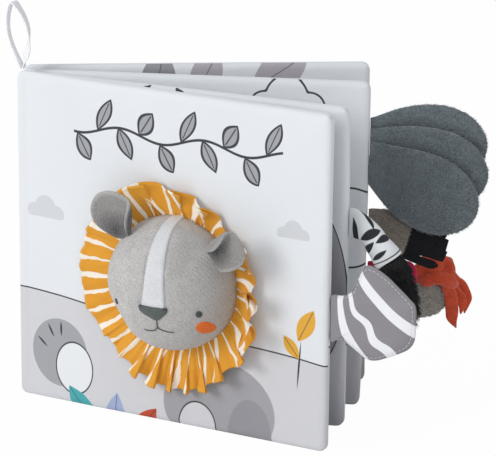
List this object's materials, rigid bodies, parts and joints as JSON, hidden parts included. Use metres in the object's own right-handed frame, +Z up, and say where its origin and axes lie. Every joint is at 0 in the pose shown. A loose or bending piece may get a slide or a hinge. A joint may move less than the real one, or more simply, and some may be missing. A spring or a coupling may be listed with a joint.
{
  "type": "crinkle cloth book",
  "caption": "Cloth baby book standing open: padded crinkle boards hinged at a cloth spine, stuffed lion head with gathered mane, plush ear, tails, flap and hanging loop.",
  "frame": {"origin": "middle of the back cover's lower edge, on the flat that its front cloth stands on", "axes": "+Z up along the spine, +X from the spine to the back cover's fore edge, -Y towards the front cover, out of the back cover's inner page"},
  "size_m": [0.2763, 0.1506, 0.2381],
  "materials": {
    "cover_cloth": "matte printed polyester cloth",
    "printed_cloth": "matte printed cotton",
    "flap_lining": "short black plush",
    "crinkle_film": "thin crackling film",
    "wadding": "loose polyester wadding",
    "head_plush": "short grey plush",
    "pale_plush": "short pale plush",
    "nose_plush": "short dark plush",
    "black_thread": "embroidery thread",
    "orange_thread": "embroidery thread",
    "mane_cotton": "striped printed cotton",
    "slate_plush": "short slate plush",
    "black_plush": "long black plush",
    "black_felt": "cut felt",
    "taupe_plush": "short taupe plush",
    "greige_plush": "short greige plush",
    "rust_fleece": "cut fleece",
    "crimson_cloth": "plain woven cloth",
    "ribbon": "woven ribbon"
  },
  "bodies": {
    "book": {"back_cover_crinkle_film": "crinkle_film", "back_cover_front_cloth": "cover_cloth", "back_cover_rear_cloth": "cover_cloth", "back_cover_spine_cloth": "cover_cloth", "back_cover_wadding": "wadding"},
    "crimson_tab": {"crimson_tab": "crimson_cloth"},
    "striped_flap": {"flap_lining": "flap_lining", "flap_striped_cloth": "printed_cloth", "flap_wadding": "wadding"},
    "front_cover": {"front_cover_crinkle_film": "crinkle_film", "front_cover_front_cloth": "cover_cloth", "front_cover_rear_cloth": "cover_cloth", "front_cover_spine_cloth": "cover_cloth", "front_cover_wadding": "wadding", "lion_blaze": "pale_plush", "lion_cheek_left": "orange_thread", "lion_cheek_right": "orange_thread", "lion_eye_left": "black_thread", "lion_eye_right": "black_thread", "lion_head_plush": "head_plush", "lion_head_stuffing": "wadding", "lion_lip_line": "black_thread", "lion_mane": "mane_cotton", "lion_mouth": "black_thread", "lion_nose": "nose_plush"},
    "greige_tail": {"greige_tail_plush": "greige_plush", "greige_tail_stuffing": "wadding", "rust_knot": "rust_fleece", "rust_strip_far": "rust_fleece", "rust_strip_middle": "rust_fleece", "rust_strip_near": "rust_fleece"},
    "hanging_loop": {"hanging_loop": "ribbon"},
    "leaf_1": {"leaf_1_crinkle_film": "crinkle_film", "leaf_1_front_cloth": "cover_cloth", "leaf_1_rear_cloth": "cover_cloth", "leaf_1_spine_cloth": "cover_cloth", "leaf_1_wadding": "wadding"},
    "leaf_2": {"leaf_2_crinkle_film": "crinkle_film", "leaf_2_front_cloth": "cover_cloth", "leaf_2_rear_cloth": "cover_cloth", "leaf_2_spine_cloth": "cover_cloth", "leaf_2_wadding": "wadding"},
    "lion_ear_left": {"lion_ear_left": "head_plush"},
    "lion_ear_right": {"lion_ear_right": "head_plush"},
    "slate_ear": {"slate_ear_back_lobe": "slate_plush", "slate_ear_front_lobe": "slate_plush", "slate_ear_middle_lobe": "slate_plush"},
    "taupe_tail": {"taupe_tail_felt_tuft": "black_felt", "taupe_tail_plush": "taupe_plush", "taupe_tail_stuffing": "wadding"},
    "white_tail": {"white_tail_cloth": "printed_cloth", "white_tail_stuffing": "wadding", "white_tail_tuft": "black_plush"}
  },
  "joints": [
    {"name": "leaf_2_hinge", "type": "hinge", "parent": "book", "child": "leaf_2", "pos_m": [-0.10185, -0.00099, 0], "axis": [0, 0, -1], "range_deg": [-6.9, 109.1]},
    {"name": "leaf_1_hinge", "type": "hinge", "parent": "leaf_2", "child": "leaf_1", "pos_m": [-0.10261, -0.00492, 0], "axis": [0, 0, 1], "range_deg": [-166.2, 9.8]},
    {"name": "front_cover_hinge", "type": "hinge", "parent": "leaf_1", "child": "front_cover", "pos_m": [-0.10428, -0.00855, 0], "axis": [0, 0, -1], "range_deg": [-2.3, 173.7]},
    {"name": "hanging_loop_fold", "type": "hinge", "parent": "front_cover", "child": "hanging_loop", "pos_m": [-0.10226, -0.0121, 0.2], "axis": [0.515, 0.8572, 0], "range_deg": [-60, 50], "stiffness_Nm_per_rad": 0.02},
    {"name": "lion_ear_left_fold", "type": "hinge", "parent": "front_cover", "child": "lion_ear_left", "pos_m": [-0.04464, -0.07109, 0.11922], "axis": [0.6846, -0.4113, 0.6018], "range_deg": [-20, 20], "stiffness_Nm_per_rad": 0.02},
    {"name": "lion_ear_right_fold", "type": "hinge", "parent": "front_cover", "child": "lion_ear_right", "pos_m": [0.00564, -0.1013, 0.10514], "axis": [0.3758, -0.2258, -0.8988], "range_deg": [-20, 20], "stiffness_Nm_per_rad": 0.02},
    {"name": "flap_seam", "type": "hinge", "parent": "front_cover", "child": "striped_flap", "pos_m": [0.07011, -0.11567, 0], "axis": [0, 0, 1], "range_deg": [-45, 24]},
    {"name": "white_tail_seam", "type": "hinge", "parent": "leaf_1", "child": "white_tail", "pos_m": [0.08248, -0.09225, 0.128], "axis": [0, 0, -1], "range_deg": [-30, 26]},
    {"name": "taupe_tail_seam", "type": "hinge", "parent": "leaf_2", "child": "taupe_tail", "pos_m": [0.09873, -0.04165, 0.109], "axis": [0, 0, 1], "range_deg": [-20, 35]},
    {"name": "crimson_tab_seam", "type": "hinge", "parent": "leaf_2", "child": "crimson_tab", "pos_m": [0.09873, -0.04165, 0.077], "axis": [0, 0, 1], "range_deg": [-30, 35]},
    {"name": "slate_ear_seam", "type": "hinge", "parent": "leaf_2", "child": "slate_ear", "pos_m": [0.1002, -0.04194, 0], "axis": [0, 0, 1], "range_deg": [-30, 45]},
    {"name": "greige_tail_seam", "type": "hinge", "parent": "book", "child": "greige_tail", "pos_m": [0.1028, 0.00101, 0.053], "axis": [0, 0, -1], "range_deg": [-35, 35]}
  ]
}
